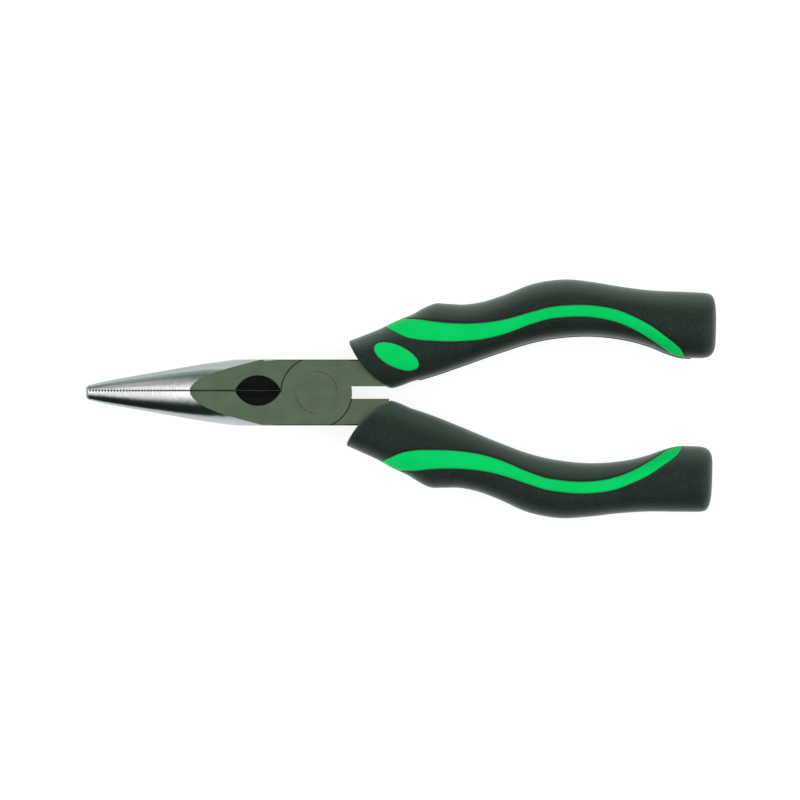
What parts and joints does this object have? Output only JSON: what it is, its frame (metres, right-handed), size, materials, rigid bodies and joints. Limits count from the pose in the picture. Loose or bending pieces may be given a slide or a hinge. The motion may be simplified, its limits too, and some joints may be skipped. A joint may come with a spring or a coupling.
{
  "type": "needle nose pliers",
  "caption": "Long tapered jaws with fine teeth and a side cutter on a lap joint, with curved two-colour grips.",
  "frame": {"origin": "under the middle of the tool's box, on the surface that it lies on; the rivet's axis is at x -21.55 mm, y 1.61 mm", "axes": "+X from the tip to the handles, +Y towards the upper grip, +Z out of the front face along the rivet"},
  "size_m": [0.1606, 0.061, 0.017],
  "materials": {
    "forged_steel": "ground flats, polished nose",
    "rivet_steel": "ground level with the joint",
    "hard_plastic": "moulded",
    "soft_cover": "satin, fine grain",
    "green_inlay": "smooth satin"
  },
  "bodies": {
    "rear_half": {"rear_lever": "forged_steel", "pivot_rivet": "rivet_steel", "lower_grip_core": "hard_plastic", "lower_grip_cover": "soft_cover", "lower_stripe_front": "green_inlay", "lower_stripe_rear": "green_inlay"},
    "front_half": {"front_lever": "forged_steel", "upper_grip_core": "hard_plastic", "upper_grip_cover": "soft_cover", "upper_stripe_front": "green_inlay", "upper_stripe_rear": "green_inlay", "badge_front": "green_inlay"}
  },
  "joints": [
    {"name": "pivot", "type": "hinge", "parent": "rear_half", "child": "front_half", "pos_m": [-0.02155, 0.00161, 0.0085], "axis": [0, 0, 1], "range_deg": [0, 42]}
  ]
}
